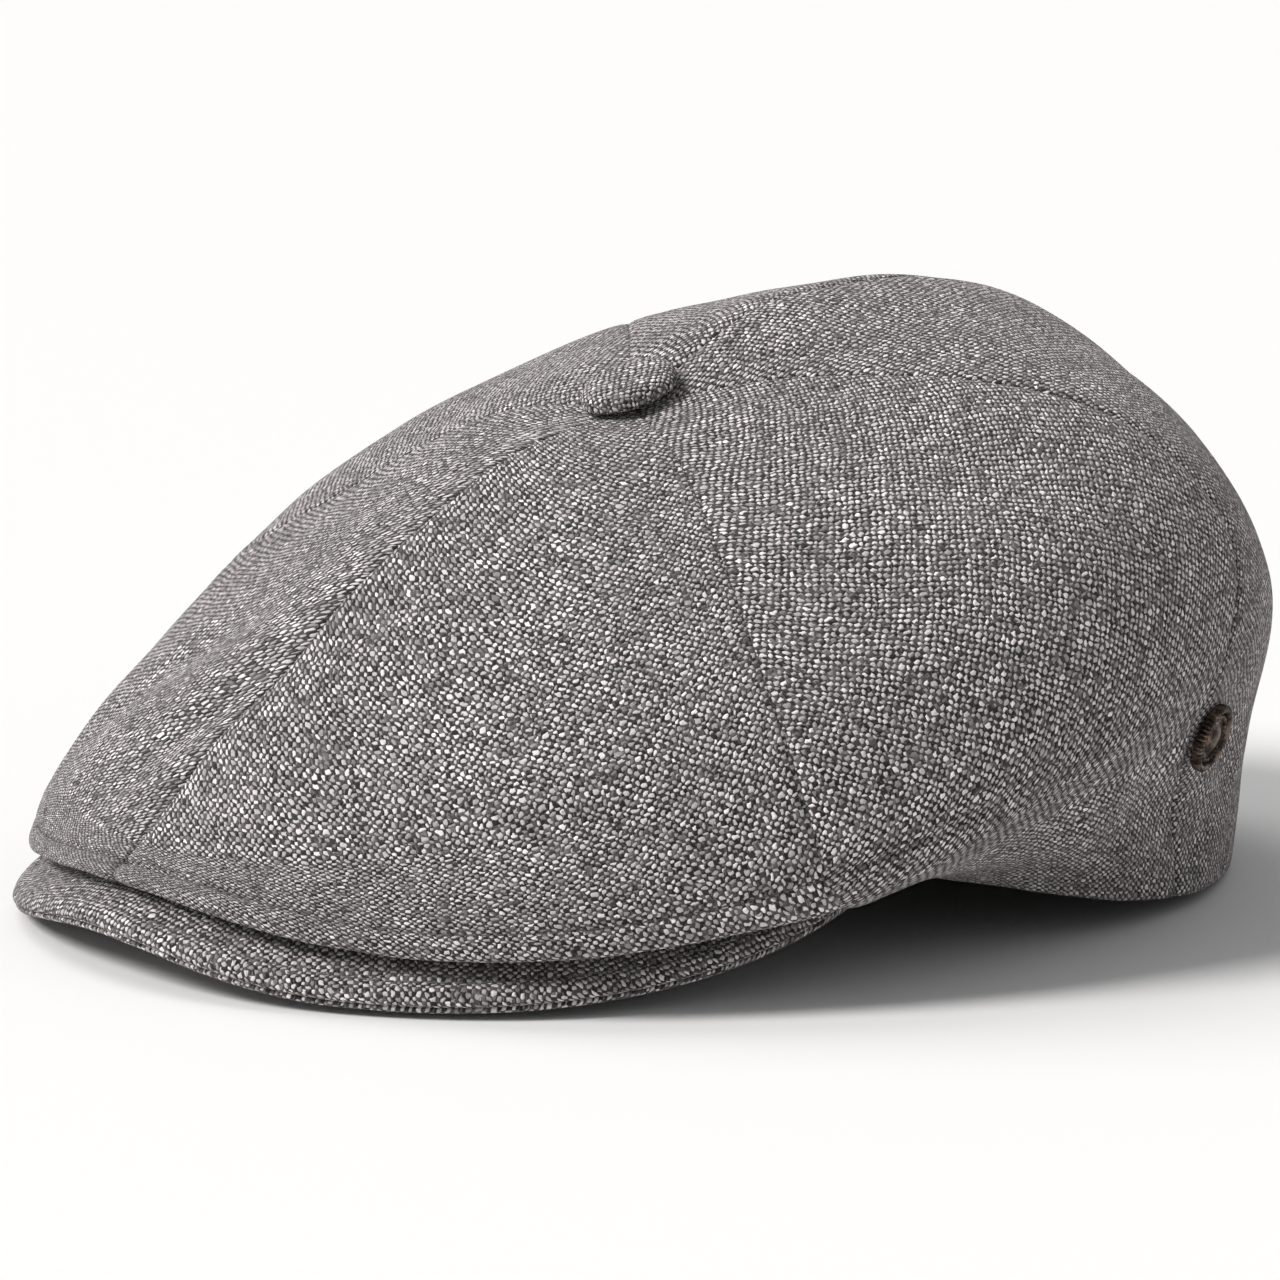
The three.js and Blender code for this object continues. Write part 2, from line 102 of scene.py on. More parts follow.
bpy.ops.object.select_all(action="DESELECT")
bpy.ops.mesh.primitive_plane_add(size=60, location=(0, 0, -0.0002))
table = bpy.context.object
table.name = "table_top"
bpy.ops.object.transform_apply(location=True, rotation=True, scale=True)
paint = bpy.data.materials.new("pale_table")
paint.use_nodes = True
paint.node_tree.nodes["Principled BSDF"].inputs["Base Color"].default_value = (0.9, 0.9, 0.9, 1)
paint.node_tree.nodes["Principled BSDF"].inputs["Roughness"].default_value = 0.85
table.data.materials.append(paint)


# ---- Cloth of the cap ----
# A plain-woven slub tweed: pale weft over charcoal warp, 0.9 mm a thread and every third one thicker, with
# neps, dark specks and a short pale nap. The weave lies on each piece's own map, in mm.
class Field:
    """A socket that can be written in sums."""

    def __init__(self, tree, socket):
        self.tree, self.socket = tree, socket

    @classmethod
    def make(cls, tree, kind, settings=None, inputs=None, out=0):
        node = tree.nodes.new(kind)
        for key, value in (settings or {}).items():
            setattr(node, key, value)
        for key, value in (inputs or {}).items():
            if isinstance(value, cls):
                tree.links.new(value.socket, node.inputs[key])
            else:
                node.inputs[key].default_value = value
        return cls(tree, node.outputs[out])

    def maths(self, operation, *others):
        inputs = dict(enumerate((self, *others)))
        return Field.make(self.tree, "ShaderNodeMath", {"operation": operation}, inputs)

    def __add__(self, other):
        return self.maths("ADD", other)

    def __sub__(self, other):
        return self.maths("SUBTRACT", other)

    def __rsub__(self, other):
        return Field.make(self.tree, "ShaderNodeMath", {"operation": "SUBTRACT"}, {0: other, 1: self})

    def __mul__(self, other):
        return self.maths("MULTIPLY", other)

    def __pow__(self, other):
        return self.maths("POWER", other)

    __radd__, __rmul__ = __add__, __mul__

    def step(self, low, high):
        settings = {"interpolation_type": "SMOOTHSTEP"}
        return Field.make(self.tree, "ShaderNodeMapRange", settings, {0: self, 1: low, 2: high})


def part_of(tree, field, out):
    return Field.make(tree, "ShaderNodeSeparateXYZ", None, {0: field}, out)


def point(tree, x, y, z=0.0):
    return Field.make(tree, "ShaderNodeCombineXYZ", None, {0: x, 1: y, 2: z})


def noise_at(tree, where, scale, detail=1.0):
    return Field.make(tree, "ShaderNodeTexNoise", None, {"Vector": where, "Scale": scale, "Detail": detail})


def blend_colours(tree, factor, first, second):
    settings = {"data_type": "RGBA"}
    return Field.make(tree, "ShaderNodeMix", settings, {0: factor, 6: first, 7: second}, out=2)


def new_finish(name, **uniform):
    finish = bpy.data.materials.new(name)
    finish.use_nodes = True
    shader = finish.node_tree.nodes["Principled BSDF"]
    for key, value in uniform.items():
        shader.inputs[key.replace("_", " ")].default_value = value
    return finish, finish.node_tree, shader


def plug(tree, shader, **fields):
    for key, field in fields.items():
        tree.links.new(field.socket, shader.inputs[key.replace("_", " ")])


thread_pitch, thread_wander, thread_jitter, uneven_spacing = 0.9, 2.6, 1.5, 0.11


def weave(tree, where):
    """Plain weave on a map in mm: returns (weft on top, thread height, weft row, warp column, u, v)."""
    x, y = part_of(tree, where, 0), part_of(tree, where, 1)
    beside = point(tree, x + 31.0, y + 57.0)
    u = x + (noise_at(tree, where, 0.07, 2.0) - 0.5) * thread_wander
    u = u + (noise_at(tree, where, 0.62, 2.0) - 0.5) * thread_jitter
    v = y + (noise_at(tree, beside, 0.05, 2.0) - 0.5) * thread_wander
    v = v + (noise_at(tree, beside, 0.62, 2.0) - 0.5) * thread_jitter
    u, v = u * (1 / thread_pitch), v * (1 / thread_pitch)
    third = 2 * math.pi / 3
    u = u + (u * third).maths("SINE") * uneven_spacing
    v = v + (v * third + 1.0).maths("SINE") * uneven_spacing
    column, row = u.maths("FLOOR"), v.maths("FLOOR")
    across = ((u - column) * 2 - 1).maths("ABSOLUTE")
    along = ((v - row) * 2 - 1).maths("ABSOLUTE")
    warp_on_top = (column + row).maths("FLOORED_MODULO", 2.0)
    plump = noise_at(tree, point(tree, u * 0.45, row * 5.1, 2.0), 1.0, 1.0) * 1.5
    square = across**3 + along**3 + 0.62 - plump
    weft_on_top = (1 - warp_on_top) * (1 - square.step(0.3, 1.05))
    warp_hump = (1 - across**2) * (1 - along**2 * 0.6)
    weft_hump = (1 - along**2) * (1 - across**2 * 0.6)
    height = warp_on_top * warp_hump + (1 - warp_on_top) * weft_hump
    return weft_on_top, height, row, column, u, v


def tweed_finish():
    uniform = {"Sheen_Weight": 0.24, "Sheen_Roughness": 0.45, "Specular_IOR_Level": 0.25}
    finish, tree, shader = new_finish("slub_tweed", Sheen_Tint=(0.93, 0.87, 0.87, 1), **uniform)
    where = Field.make(tree, "ShaderNodeUVMap", {"uv_map": "cloth_mm"})
    weft, height, row, column, u, v = weave(tree, where)
    slub = noise_at(tree, point(tree, u * 0.16, row * 3.7), 1.0, 1.0)
    warp_slub = noise_at(tree, point(tree, column * 3.3, v * 0.16, 7.0), 1.0, 1.0)
    crossing = point(tree, column, row)
    cell = Field.make(tree, "ShaderNodeTexWhiteNoise", {"noise_dimensions": "2D"}, {"Vector": crossing})
    patch = noise_at(tree, where, 0.045, 3.0)
    pale = (slub.step(0.3, 0.72) * 0.42 + cell**1.4 * 0.5 + 0.2) * (0.74 + patch * 0.52)
    fleck = noise_at(tree, point(tree, u * 2.4, v * 0.8, 9.0), 1.0, 2.0).step(0.5, 0.68)
    dark = warp_slub.step(0.45, 0.8) * 0.08 + cell**5 * 0.1 + fleck * 0.13 + 0.015
    fibre = noise_at(tree, where, 4.5, 3.0)
    nep = noise_at(tree, where, 0.55, 0.0).step(0.73, 0.8)
    speck = noise_at(tree, point(tree, u, v, 3.0), 0.5, 0.0).step(0.74, 0.8)
    pale = pale * (0.72 + fibre * 0.56) + nep * 0.2
    pale_colour = Field.make(tree, "ShaderNodeCombineColor", None, {0: pale, 1: pale * 0.94, 2: pale * 0.935})
    dark = dark * (0.6 + fibre * 0.8)
    dark_colour = Field.make(tree, "ShaderNodeCombineColor", None, {0: dark, 1: dark * 0.9, 2: dark * 0.93})
    share = weft * (1 - speck * 0.85)
    colour = blend_colours(tree, share, dark_colour, pale_colour)
    fuzz = noise_at(tree, where, 9.0, 2.0)
    lift = height + fuzz * 0.35 + slub * 0.3
    settings = {"Strength": 0.9, "Distance": 0.00028, "Height": lift}
    bump = Field.make(tree, "ShaderNodeBump", None, settings)
    plug(tree, shader, Base_Color=colour, Roughness=0.96 - share * 0.12, Normal=bump)
    return finish


tweed = tweed_finish()

# ---- Crown ----
# Six gores of the tweed, cut with the grain down each gore (along the side seam on the two front ones),
# sewn edge to edge with the allowances turned in, and pulled forward over the visor.
MM = 0.001
opening_half_width, opening_half_length, opening_pull, hem_lift = 94.5, 91.0, 0.03, 37.0
crown_height, crown_forward, button_forward, button_tilt = 96.0, 9.5, 34.5, math.radians(22)
bulge_overhang = [56, 46, 29, 19.5, 13.9, 12.6, 16]
bulge_height = [0.177, 0.115, 0.208, 0.443, 0.64, 0.661, 0.641]
shoulder_share = [0.9, 0.89, 0.87, 0.86, 0.84, 0.79, 0.77]
shoulder_height = [0.25, 0.292, 0.52, 0.795, 0.99, 1.055, 1.11]
top_share = 0.28
top_rise = [-10, -9.5, -6, 0.5, 6, 12.5, 16]
fold_roundness = 1.1
button_seat = np.array([0, -button_forward, crown_height])
button_axis = np.array([0, -math.sin(button_tilt), math.cos(button_tilt)])


def around(values, theta):
    turn = np.abs(np.arctan2(np.sin(theta), np.cos(theta))) / np.radians(30)
    first = np.minimum(turn.astype(int), len(values) - 2)
    f = turn - first
    ring = np.array([values[1], *values, values[-2]], float)
    a, b, c, d = (ring[first + k] for k in range(4))
    return (2 * b + (c - a) * f + (2 * a - 5 * b + 4 * c - d) * f**2 + (3 * b - a - 3 * c + d) * f**3) / 2


def hem_point(theta, depth=0.0, rise=0.0):
    c, s = np.cos(theta), np.sin(theta)
    x, y = opening_half_width * s, -opening_half_length * c * (1 + opening_pull * c * c)
    out = np.stack([s / opening_half_width, -c / opening_half_length, 0 * c], -1)
    out /= np.linalg.norm(out, axis=-1, keepdims=True)
    return np.stack([x, y, hem_lift * ((1 + c) / 2) ** 2.2 + rise], -1) - np.asarray(depth)[..., None] * out


def frontness(theta):
    return (((1 + np.cos(theta)) / 2) ** 1.5)[..., None]


def meridian_keys(theta):
    def ring(radius, forward, z):
        return np.stack([radius * np.sin(theta), -radius * np.cos(theta) - forward, z + 0 * theta], -1)

    reach = np.hypot(opening_half_width * np.sin(theta), opening_half_length * np.cos(theta))
    widest = reach + around(bulge_overhang, theta)
    lean = button_forward - crown_forward
    hem = hem_point(theta)
    bulge = ring(widest, crown_forward, crown_height * around(bulge_height, theta))
    front = frontness(theta)
    under = hem + (bulge - hem) * (0.6 + 0.25 * front)
    under[..., 2] = hem[..., 2] + (bulge - hem)[..., 2] * (0.45 + 0.45 * front[..., 0])
    shoulder_z = crown_height * around(shoulder_height, theta)
    shoulder = ring(widest * around(shoulder_share, theta), crown_forward + 0.39 * lean, shoulder_z)
    top = ring(widest * top_share, crown_forward + 0.81 * lean, crown_height + around(top_rise, theta))
    return [hem, under, bulge, shoulder, top]


def flow(keys, t):
    """A point at t along a smooth line through the keys, which rounds the folds."""
    keys = np.stack(np.broadcast_arrays(*keys), -2)
    first = np.minimum(t.astype(int), keys.shape[-2] - 4)
    f = (t - first)[..., None]
    a, b, c, d = (np.take_along_axis(keys, (first + k)[..., None, None], -2)[..., 0, :] for k in range(4))
    ab, bc, cd = (np.sqrt(np.linalg.norm(q - p, axis=-1, keepdims=True)) for p, q in ((a, b), (b, c), (c, d)))

    def slope(p, q, r, before, after):
        whole = (r - q) / after + (q - p) / before - (r - p) / (before + after)
        size = np.linalg.norm(whole, axis=-1, keepdims=True)
        least = fold_roundness * np.minimum(before, after)
        return whole * np.maximum(size, least) / np.maximum(size, 1e-9) * bc

    start, end = slope(a, b, c, ab, bc), slope(b, c, d, bc, cd)
    near = b * (1 + 2 * f) * (1 - f) ** 2 + start * f * (1 - f) ** 2
    return near + c * f * f * (3 - 2 * f) + end * f * f * (f - 1)


def crown_line(theta, t):
    keys = meridian_keys(theta)
    before = 2 * keys[0] - keys[1]
    return flow([before, *keys, button_seat, meridian_keys(theta + np.pi)[-1]], t)


def outward(line, theta, t):
    step = 0.02
    along = line(theta, t + step) - line(theta, np.maximum(t - step, 0))
    sideways = line(theta + step, t) - line(theta - step, t)
    n = np.cross(sideways, along)
    return n / np.linalg.norm(n, axis=-1, keepdims=True)


def swing(theta_deg, t):
    if abs(theta_deg) != 120:
        return theta_deg + 0 * t
    low = 11.5 + 6.5 * np.minimum(t, 1.5) / 1.5
    f = np.clip(2.5 - t, 0, 1)
    return theta_deg - np.sign(theta_deg) * low * f * f * (3 - 2 * f)


def bell(distance, width):
    return np.exp(-((distance / width) ** 2))


def lumps(points, wavelength, seed):
    """Soft unevenness between about -1 and 1 at each point, in mm."""
    flat = points.reshape(-1, 3) / wavelength + seed
    return np.array([noise.noise(Vector(p)) for p in flat]).reshape(points.shape[:-1]) * 1.6


def arc(points, axis):
    """Distance run along a grid's rows or columns."""
    steps = np.linalg.norm(np.diff(points, axis=axis), axis=-1)
    run = np.zeros(points.shape[:-1])
    if axis == 0:
        run[1:] = np.cumsum(steps, 0)
    else:
        run[:, 1:] = np.cumsum(steps, 1)
    return run


def cloth_sheet(name, outer, inner, maps, finish, ring=False):
    """A closed sheet between two grids of points in mm, with the map 'cloth_mm'."""
    rows, columns = outer.shape[:2]
    r, c = np.meshgrid(np.arange(rows - 1), np.arange(columns if ring else columns - 1), indexing="ij")
    at = lambda layer, i, k: (layer * rows + i) * columns + k % columns
    front = np.stack([at(0, r, c), at(0, r, c + 1), at(0, r + 1, c + 1), at(0, r + 1, c)], -1).reshape(-1, 4)
    rear = np.stack([at(1, r, c), at(1, r + 1, c), at(1, r + 1, c + 1), at(1, r, c + 1)], -1).reshape(-1, 4)
    k = np.arange(columns if ring else columns - 1)
    i = np.arange(rows - 1)
    foot = np.stack([at(1, 0, k), at(1, 0, k + 1), at(0, 0, k + 1), at(0, 0, k)], -1)
    end = rows - 1
    head = np.stack([at(0, end, k), at(0, end, k + 1), at(1, end, k + 1), at(1, end, k)], -1)
    faces = [front, rear, foot, head]
    if not ring:
        last = columns - 1
        faces.append(np.stack([at(1, i, 0), at(0, i, 0), at(0, i + 1, 0), at(1, i + 1, 0)], -1))
        faces.append(np.stack([at(0, i, last), at(1, i, last), at(1, i + 1, last), at(0, i + 1, last)], -1))
    faces = np.concatenate(faces)
    places = np.concatenate([outer.reshape(-1, 3), inner.reshape(-1, 3)]) * MM
    mesh = bpy.data.meshes.new(name)
    mesh.from_pydata(places.tolist(), [], faces.tolist())
    layer = mesh.uv_layers.new(name="cloth_mm")
    corner = np.empty(len(mesh.loops), int)
    mesh.loops.foreach_get("vertex_index", corner)
    both = np.concatenate([maps.reshape(-1, 2)] * 2)
    layer.data.foreach_set("uv", both[corner].ravel())
    piece = bpy.data.objects.new(name, mesh)
    bpy.context.scene.collection.objects.link(piece)
    mesh.materials.append(finish)
    mesh.polygons.foreach_set("use_smooth", np.ones(len(faces), bool))
    return piece


def cut_size(outer):
    """Width, length and area of the flat cut, in metres, from the shaped sheet."""
    width = np.linalg.norm(np.diff(outer, axis=1), axis=-1).sum(1)
    length = np.linalg.norm(np.diff(outer, axis=0), axis=-1).sum(0)
    a, b = outer[1:, 1:] - outer[:-1, :-1], outer[1:, :-1] - outer[:-1, 1:]
    area = np.linalg.norm(np.cross(a, b), axis=-1).sum() / 2
    flat = float(width.max()) * MM, float(length.max()) * MM
    return flat, float(np.clip(area * MM * MM, 0.31 * flat[0] * flat[1], flat[0] * flat[1]))


def follow_visor(piece):
    """Bakes the piece's placement into its mesh; no part of it is moved with the visor."""
    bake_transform(piece)


# Folds and hollows of the cloth: (angle, t) of both ends, width and height in mm.
folds = [
    ((62, 1.35), (98, 1.12), 7.0, 1.6),
    ((96, 0.95), (112, 0.45), 9.0, -2.6),
    ((84, 0.75), (100, 0.35), 6.0, 1.2),
    ((8, 3.62), (-9, 3.2), 7.0, -2.0),
    ((5, 3.3), (18, 2.85), 8.0, 1.3),
    ((-20, 3.5), (-32, 2.9), 9.0, -1.6),
    ((96, 3.3), (104, 2.95), 10.0, -1.3),
    ((112, 1.35), (120, 0.75), 7.0, -1.6),
    ((99, 1.5), (95, 0.9), 6.0, -0.9),
    ((-64, 1.3), (-100, 1.1), 7.0, 1.5),
    ((-97, 0.95), (-113, 0.4), 9.0, -2.3),
    ((150, 2.0), (168, 0.8), 10.0, -1.5),
    ((-148, 1.9), (-166, 0.9), 10.0, -1.3),
    ((140, 3.4), (172, 3.1), 12.0, 1.4),
]
cloth_thickness = 1.3
seam_gap = 0.06
topstitch_climb = 5.0
low_rows, fold_rows, top_rows = np.linspace(0, 1.5, 46), np.linspace(1.5, 2.6, 60), np.linspace(2.6, 4.95, 90)
crown_rows = np.concatenate([low_rows[:-1], fold_rows[:-1], top_rows])


def crown_cloth(points, normals, edge, climb, theta_deg):
    """Moves the smooth crown's points out and in, as cloth lies: seam furrows, topstitch, folds, lumps."""
    rise = lumps(points, 48, 3.1) * 0.9 + lumps(points, 17, 8.4) * 0.28
    rise += -0.3 * bell(edge, 0.45) - 0.1 * bell(edge, 2.5) + 0.1 * bell(edge - 4.0, 2.0)
    front = np.clip((80 - np.abs(theta_deg)) / 12, 0, 1)
    groove = -0.85 * bell(climb - topstitch_climb, 0.6)
    rise += front * (groove + 0.9 * bell(climb - 0.8, 2.2) + 0.15 * bell(climb - 7.0, 1.2))
    for (a, ta), (b, tb), width, height in folds:
        ends = crown_line(np.radians(np.array([a, b], float)), np.array([ta, tb], float))
        span = ends[1] - ends[0]
        f = np.clip(((points - ends[0]) @ span) / (span @ span), 0, 1)
        gap = np.linalg.norm(points - ends[0] - f[..., None] * span, axis=-1)
        rise += height * bell(gap, width) * (0.35 + 0.65 * np.sin(np.pi * (0.15 + 0.7 * f)))
    return points + normals * rise[..., None]


def gore(name, start_deg, end_deg, reference):
    columns = 56
    share = np.linspace(0, 1, columns)[None, :]
    t = np.repeat(crown_rows[:, None], columns, 1)
    low, high = np.radians(swing(start_deg, t)), np.radians(swing(end_deg, t))
    theta = low + (high - low) * share
    radius = np.maximum(np.linalg.norm(crown_line(theta, t) - button_seat, axis=-1), 2.0)
    theta = low + (high - low) * share + (0.5 - share) * seam_gap / radius
    smooth = crown_line(theta, t)
    normals = outward(crown_line, theta, t)
    across = arc(smooth, 1)
    edge = np.minimum(across, across[:, -1:] - across)
    climb = arc(smooth, 0)
    climb = climb - climb[np.argmin(np.abs(crown_rows - 2.0))]
    outer = crown_cloth(smooth, normals, edge, climb, np.degrees(theta))
    hem_round = np.clip(1 - arc(smooth, 0) / 1.6, 0, 1) ** 2 * 0.5
    outer = outer - normals * hem_round[..., None]
    inner = outer - normals * (cloth_thickness - hem_round)[..., None]
    zero = int(reference * (columns - 1))
    run_up = np.repeat(arc(smooth, 0)[:, zero : zero + 1], columns, 1)
    grain = np.stack([across - across[:, zero : zero + 1], run_up], -1)
    grain += 400 * (start_deg + 200) / 60
    piece = cloth_sheet(name, outer, inner, grain, tweed)
    flat, area = cut_size(smooth)
    return piece, flat, area


gore_seams = {
    "rear_right": (-180, -120, 0.5),
    "side_right": (-120, -60, 0.5),
    "front_right": (-60, 0, 0.0),
    "front_left": (0, 60, 1.0),
    "side_left": (60, 120, 0.5),
    "rear_left": (120, 180, 0.5),
}
for side, (seam_a, seam_b, grain_line) in gore_seams.items():
    panel, flat, area = gore("crown_gore_" + side, seam_a, seam_b, grain_line)
    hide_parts("crown_panel_" + side)
    follow_visor(panel)

# ---- Lining ----
# Six gores of black satin, cut smaller than the crown and sewn together, then sewn in at the hem.
# They hang loose inside, with small slack folds.
cloth, tape, tape_slack, lining_slack, lining_rise, fit_gap = 1.6, 0.6, 0.9, 2.6, 5.0, 0.3
tape_depth = cloth + fit_gap + tape_slack
lining_depth = tape_depth + tape + fit_gap
lining_thickness = 0.6


def lining_keys(theta):
    hem, under, bulge, shoulder, top = meridian_keys(theta)
    middle = (hem + bulge + top) / 3
    front = frontness(theta)
    drawn = lambda key, rear, fore: key + (middle - key) * lining_depth * (rear + (fore - rear) * front)
    four = 4.0 + 0 * theta
    at_top = crown_line(theta, four) - (lining_depth + lining_slack) * outward(crown_line, theta, four)
    folded = shoulder + (top - shoulder) * 0.15 * front
    edge = hem_point(theta, lining_depth, lining_rise)
    return [edge, drawn(under, 0.027, 0.165), drawn(bulge, 0.041, 0.104), drawn(folded, 0.038, 0.081), at_top]


def lining_line(theta, t):
    keys = lining_keys(theta)
    seat = button_seat - button_axis * (lining_depth + lining_slack)
    return flow([2 * keys[0] - keys[1], *keys, seat, lining_keys(theta + np.pi)[-1]], t)


def satin_finish():
    finish, tree, shader = new_finish("black_satin", Specular_IOR_Level=0.5, Sheen_Weight=0.1)
    where = Field.make(tree, "ShaderNodeUVMap", {"uv_map": "cloth_mm"})
    yarn = noise_at(tree, point(tree, part_of(tree, where, 0) * 6.0, part_of(tree, where, 1) * 0.6), 1.0, 2.0)
    cloud = noise_at(tree, where, 0.06, 3.0)
    tone = (0.016 + yarn * 0.018) * (0.7 + cloud * 0.6)
    colour = Field.make(tree, "ShaderNodeCombineColor", None, {0: tone, 1: tone * 0.98, 2: tone * 1.06})
    bump = Field.make(tree, "ShaderNodeBump", None, {"Strength": 0.5, "Distance": 0.00008, "Height": yarn})
    plug(tree, shader, Base_Color=colour, Roughness=0.3 + cloud * 0.22, Normal=bump)
    return finish


satin = satin_finish()
lining_rows, lining_columns, lining_seam_gap = np.linspace(0, 4.95, 74), 26, 0.3
for side, (seam_a, seam_b, grain_line) in gore_seams.items():
    share = np.linspace(0, 1, lining_columns)[None, :]
    t = np.repeat(lining_rows[:, None], lining_columns, 1)
    theta = np.radians(seam_a + (seam_b - seam_a) * share) + 0 * t
    radius = np.maximum(np.linalg.norm(lining_line(theta, t) - button_seat, axis=-1), 2.0)
    theta = theta + (0.5 - share) * lining_seam_gap / radius
    smooth = lining_line(theta, t)
    normals = outward(lining_line, theta, t)
    across = arc(smooth, 1)
    edge = np.minimum(across, across[:, -1:] - across)
    slack = np.clip(arc(smooth, 0) / 25, 0, 1)
    sink = 0.8 * bell(edge, 1.2) + slack * (0.7 + 0.7 * lumps(smooth, 22, 5.0))
    outer = smooth - normals * np.maximum(sink, 0)[..., None]
    inner = outer - normals * lining_thickness
    grain = np.stack([across, arc(smooth, 0)], -1)
    lining = cloth_sheet("lining_gore_" + side, outer, inner, grain, satin)
    flat, area = cut_size(smooth)
    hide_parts("lining_panel_" + side)
    follow_visor(lining)

# ---- Stay tape and sweatband ----
# A narrow woven tape is sewn round inside the hem so that the opening can't stretch. The sweatband over it is
# a black ribbed ribbon, sewn along its lower edge with one row of stitches and loose at the top.
full_turn = np.linspace(0, 2 * np.pi, 361)[:-1][None, :]


def ribbon_finish(name, rib, tone_low, tone_high):
    finish, tree, shader = new_finish(name, Sheen_Weight=0.2, Sheen_Roughness=0.4)
    where = Field.make(tree, "ShaderNodeUVMap", {"uv_map": "cloth_mm"})
    u, v = part_of(tree, where, 0), part_of(tree, where, 1)
    ribs = (u * (2 * math.pi / rib)).maths("SINE") * 0.5 + 0.5
    yarn = noise_at(tree, point(tree, u * 2.0, v * 9.0), 1.0, 2.0)
    fade = noise_at(tree, where, 0.05, 3.0)
    tone = (tone_low + (tone_high - tone_low) * (ribs * 0.6 + yarn * 0.4)) * (0.75 + fade * 0.5)
    colour = Field.make(tree, "ShaderNodeCombineColor", None, {0: tone, 1: tone * 0.98, 2: tone * 1.03})
    lift = ribs + yarn * 0.4
    bump = Field.make(tree, "ShaderNodeBump", None, {"Strength": 0.7, "Distance": 0.00012, "Height": lift})
    plug(tree, shader, Base_Color=colour, Roughness=0.9 - ribs * 0.15, Normal=bump)
    return finish


tape_finish = ribbon_finish("tape_weave", 0.9, 0.02, 0.06)
tape_width, tape_start, tape_probe = 11.0, 0.06, 0.1
tape_rows = np.linspace(0, 1, 5)[:, None]
tape_foot = crown_line(full_turn, tape_start + 0 * full_turn)
above_foot = crown_line(full_turn, tape_start + tape_probe + 0 * full_turn)
slope = np.linalg.norm(above_foot - tape_foot, axis=-1)
tape_t = tape_start + tape_rows * tape_width / (slope / tape_probe)
tape_theta = full_turn + 0 * tape_t
tape_normals = outward(crown_line, tape_theta, tape_t)
tape_outer = crown_line(tape_theta, tape_t) - tape_normals * tape_depth
tape_map = np.stack([tape_theta * 94, tape_rows * tape_width + 0 * tape_theta], -1)
tape_inner = tape_outer - tape_normals * 0.5
stay = cloth_sheet("stay_tape_ribbon", tape_outer, tape_inner, tape_map, tape_finish, ring=True)
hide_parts("stay_tape")
follow_visor(stay)

band_finish = ribbon_finish("sweatband_ribs", 1.1, 0.014, 0.045)
band_height, band_depth, band_rise = 26.0, 5.3, 1.0
band_rows = np.linspace(0, 1, 30)[:, None]
band_theta = full_turn + 0 * band_rows
band_up = band_rise + band_height * band_rows + 0 * band_theta
ease = 0.35 * np.sin(band_theta * 9 + 1.3) * band_rows**2 + 0.25 * np.sin(band_theta * 23) * band_rows**3
furrow = 0.35 * bell(band_up - band_rise - 2.4, 0.6)
furrow = furrow + 0.25 * bell(band_up - band_rise - band_height + 1.6, 0.5)
band_outer = hem_point(band_theta, band_depth + np.maximum(ease, 0), band_up)
band_inner = hem_point(band_theta, band_depth + 1.1 + ease - furrow, band_up)
band_map = np.stack([band_theta * 89, band_up], -1)
band = cloth_sheet("sweatband_ribbon", band_outer, band_inner, band_map, band_finish, ring=True)
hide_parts("sweatband")
follow_visor(band)


# The stitches: one short thread modelled once, then laid along each sewing line.
def stitch_row(name, places, headings, lifts, length, width, finish):
    bpy.ops.object.select_all(action="DESELECT")
    bpy.ops.mesh.primitive_uv_sphere_add(segments=6, ring_count=4, radius=0.5, location=(0, 0, 0))
    thread = bpy.context.object
    shape = np.array([v.co for v in thread.data.vertices]) * np.array([length, width, width * 0.7])
    skin = [tuple(p.vertices) for p in thread.data.polygons]
    bpy.data.objects.remove(thread)
    headings = headings / np.linalg.norm(headings, axis=-1, keepdims=True)
    side = np.cross(lifts, headings)
    points = places[:, None] + shape[None, :, :1] * headings[:, None] + shape[None, :, 1:2] * side[:, None]
    points = (points + shape[None, :, 2:] * lifts[:, None]).reshape(-1, 3) * MM
    faces = [tuple(v + k * len(shape) for v in f) for k in range(len(places)) for f in skin]
    mesh = bpy.data.meshes.new(name)
    mesh.from_pydata(points.tolist(), [], faces)
    mesh.materials.append(finish)
    mesh.polygons.foreach_set("use_smooth", np.ones(len(faces), bool))
    row = bpy.data.objects.new(name, mesh)
    bpy.context.scene.collection.objects.link(row)
    return row


def thread_finish(name, tone):
    finish, tree, shader = new_finish(name, Sheen_Weight=0.2)
    where = Field.make(tree, "ShaderNodeTexCoord", None, None, out=3)
    ply = noise_at(tree, where, 2600.0, 2.0)
    colour = blend_colours(tree, ply, (*(c * 0.5 for c in tone), 1), (*(c * 1.5 for c in tone), 1))
    bump = Field.make(tree, "ShaderNodeBump", None, {"Strength": 0.4, "Distance": 0.0001, "Height": ply})
    plug(tree, shader, Base_Color=colour, Roughness=0.7 + ply * 0.2, Normal=bump)
    return finish


black_thread = thread_finish("black_thread", (0.02, 0.02, 0.021))
grey_thread = thread_finish("grey_thread", (0.12, 0.11, 0.11))
turn = np.linspace(0, 2 * np.pi, 191)[:-1]
spots = hem_point(turn, band_depth + 1.1 - 0.05, band_rise + 2.4)
next_spots = hem_point(turn + 0.01, band_depth + 1.1, band_rise + 2.4)
ahead = next_spots - hem_point(turn, band_depth + 1.1, band_rise + 2.4)
into = -np.stack([np.sin(turn), -np.cos(turn), 0 * turn], -1)
band_stitches = stitch_row("sweatband_stitches", spots, ahead, into, 2.2, 0.5, black_thread)
follow_visor(band_stitches)

